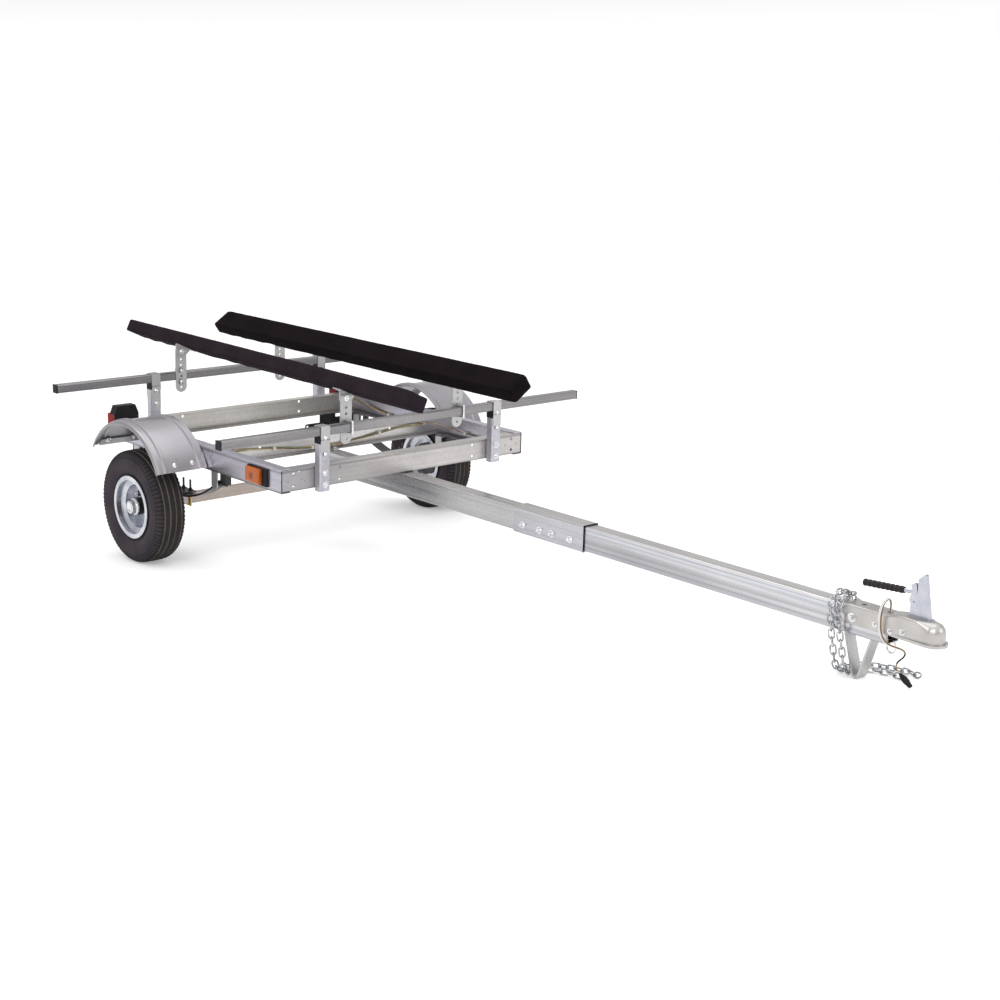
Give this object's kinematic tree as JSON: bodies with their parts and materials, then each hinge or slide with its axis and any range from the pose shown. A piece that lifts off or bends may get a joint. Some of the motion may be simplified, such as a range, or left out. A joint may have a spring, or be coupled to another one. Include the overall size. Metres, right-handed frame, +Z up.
{
  "type": "boat trailer",
  "caption": "Light single-axle boat trailer with a straight tongue, a ball coupler, two carpeted bunks, load bars, arched fenders and a fixed parking foot.",
  "frame": {"origin": "on the floor under the middle of the trailer's length and width", "axes": "+X along the tongue towards the coupler, +Y to the trailer's left, +Z up; the trailer stands parked, nose down on its foot"},
  "size_m": [3.6616, 1.634, 0.8195],
  "materials": {
    "amber_lens": "clear gloss",
    "black_paint": "satin",
    "black_plastic": "moulded",
    "black_rubber": "satin",
    "bunk_carpet": "short looped marine carpet",
    "galvanised_steel": "matt galvanised with a faint spangle",
    "harness_wire": "satin",
    "hub_paint": "satin",
    "red_lens": "clear gloss",
    "spring_steel": "matt galvanised",
    "tyre_rubber": "matt",
    "white_plastic": "moulded",
    "yellow_zinc": "yellow passivated",
    "zinc_steel": "bright zinc"
  },
  "bodies": {
    "trailer": {"axle": "galvanised_steel", "axle_clamps": "yellow_zinc", "bar_posts": "galvanised_steel", "bar_saddles": "galvanised_steel", "bracket_u_bolts": "zinc_steel", "bunk_angles": "galvanised_steel", "bunk_bracket_plates": "galvanised_steel", "bunk_left": "bunk_carpet", "bunk_right": "bunk_carpet", "coupler": "galvanised_steel", "coupler_latch": "galvanised_steel", "end_caps": "black_plastic", "fender_brackets": "galvanised_steel", "fender_left": "galvanised_steel", "fender_right": "galvanised_steel", "front_crossmember": "galvanised_steel", "harness_clips": "white_plastic", "latch_grip": "black_rubber", "leaf_springs": "spring_steel", "load_bars": "galvanised_steel", "mid_crossmember": "galvanised_steel", "parking_foot": "galvanised_steel", "plate_bracket": "black_paint", "plug": "black_rubber", "plug_lead": "black_rubber", "rear_crossmember": "galvanised_steel", "safety_chain": "zinc_steel", "side_marker_bases": "black_plastic", "side_marker_lenses": "amber_lens", "side_rail_left": "galvanised_steel", "side_rail_right": "galvanised_steel", "spring_blocks": "black_paint", "spring_hangers": "galvanised_steel", "tail_lamp_housings": "black_plastic", "tail_lamp_lenses": "red_lens", "tongue_front": "galvanised_steel", "tongue_rear": "galvanised_steel", "tongue_splice": "galvanised_steel", "wiring_harness": "harness_wire"},
    "wheel_left": {"tyre_left": "tyre_rubber", "rim_left": "galvanised_steel", "hub_left": "hub_paint"},
    "wheel_right": {"tyre_right": "tyre_rubber", "rim_right": "galvanised_steel", "hub_right": "hub_paint"}
  },
  "joints": [
    {"name": "wheel_left_spin", "type": "hinge", "parent": "trailer", "child": "wheel_left", "pos_m": [-1.13287, 0.684, 0.208], "axis": [0, 1, 0], "continuous": true},
    {"name": "wheel_right_spin", "type": "hinge", "parent": "trailer", "child": "wheel_right", "pos_m": [-1.13287, -0.684, 0.208], "axis": [0, 1, 0], "continuous": true}
  ]
}
